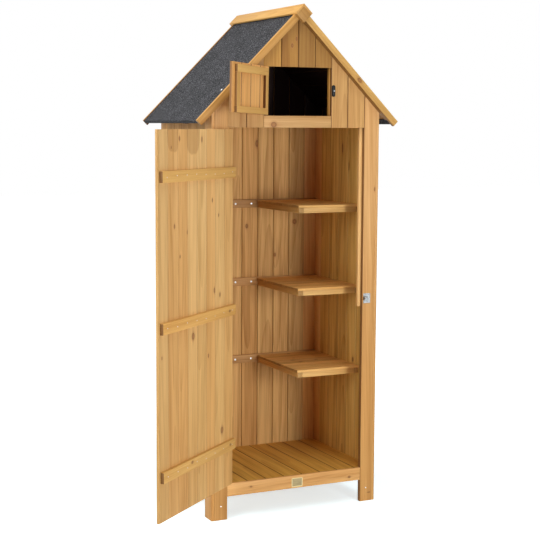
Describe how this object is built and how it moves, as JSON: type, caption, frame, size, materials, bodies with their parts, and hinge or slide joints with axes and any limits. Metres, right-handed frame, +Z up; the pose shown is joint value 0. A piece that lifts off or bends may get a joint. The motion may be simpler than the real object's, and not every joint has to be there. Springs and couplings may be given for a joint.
{
  "type": "wooden tool shed",
  "caption": "Tall narrow wooden tool shed with a steep felt-covered gable roof, open shelves, a hinged front door and a small loft door.",
  "frame": {"origin": "on the ground, in the middle of the rectangle between the four legs", "axes": "X runs across the front to the right, Y runs from the front to the back, Z runs up"},
  "size_m": [1.046, 0.8795, 1.79],
  "materials": {
    "pine_outside": "honey stained pine boards",
    "pine_inside": "honey stained pine boards",
    "mineral_felt": "mineral roofing felt",
    "zinc_steel": "zinc plated",
    "black_plastic": "satin"
  },
  "bodies": {
    "shed": {"front_post_left": "pine_outside", "front_post_right": "pine_outside", "front_stile_left": "pine_outside", "front_stile_right": "pine_outside", "rear_stile_left": "pine_outside", "rear_stile_right": "pine_outside", "back_post_left": "pine_outside", "back_post_right": "pine_outside", "left_wall": "pine_outside", "right_wall": "pine_outside", "back_wall": "pine_outside", "front_sill": "pine_outside", "gable_left": "pine_outside", "gable_right": "pine_outside", "gable_top": "pine_outside", "loft_sill": "pine_outside", "head_rail": "pine_inside", "floor": "pine_inside", "floor_bearer_left": "pine_inside", "floor_bearer_right": "pine_inside", "loft_floor": "pine_inside", "back_ledges": "pine_inside", "shelf_low": "pine_inside", "shelf_middle": "pine_inside", "shelf_top": "pine_inside", "shelf_frame_low": "pine_inside", "shelf_frame_middle": "pine_inside", "shelf_frame_top": "pine_inside", "roof_left": "pine_outside", "roof_right": "pine_outside", "roof_felt": "mineral_felt", "verge_front_left": "pine_outside", "verge_front_right": "pine_outside", "verge_back_left": "pine_outside", "verge_back_right": "pine_outside", "ridge_left": "pine_outside", "ridge_right": "pine_outside", "ridge_ends": "pine_outside", "door_stop": "pine_outside", "loft_stop": "pine_outside", "bolt_keeper": "zinc_steel", "turn_button": "black_plastic", "post_hinges": "zinc_steel", "loft_door_boards": "pine_outside", "loft_door_frame": "pine_outside", "loft_hinges": "zinc_steel"},
    "front_door": {"door_boards": "pine_outside", "door_ledges": "pine_outside", "door_hinges": "zinc_steel", "door_bolt": "zinc_steel"}
  },
  "joints": [
    {"name": "front_door_hinge", "type": "hinge", "parent": "shed", "child": "front_door", "pos_m": [-0.2625, -0.247, 0.75], "axis": [0, 0, -1], "range_deg": [-140, 35]}
  ]
}
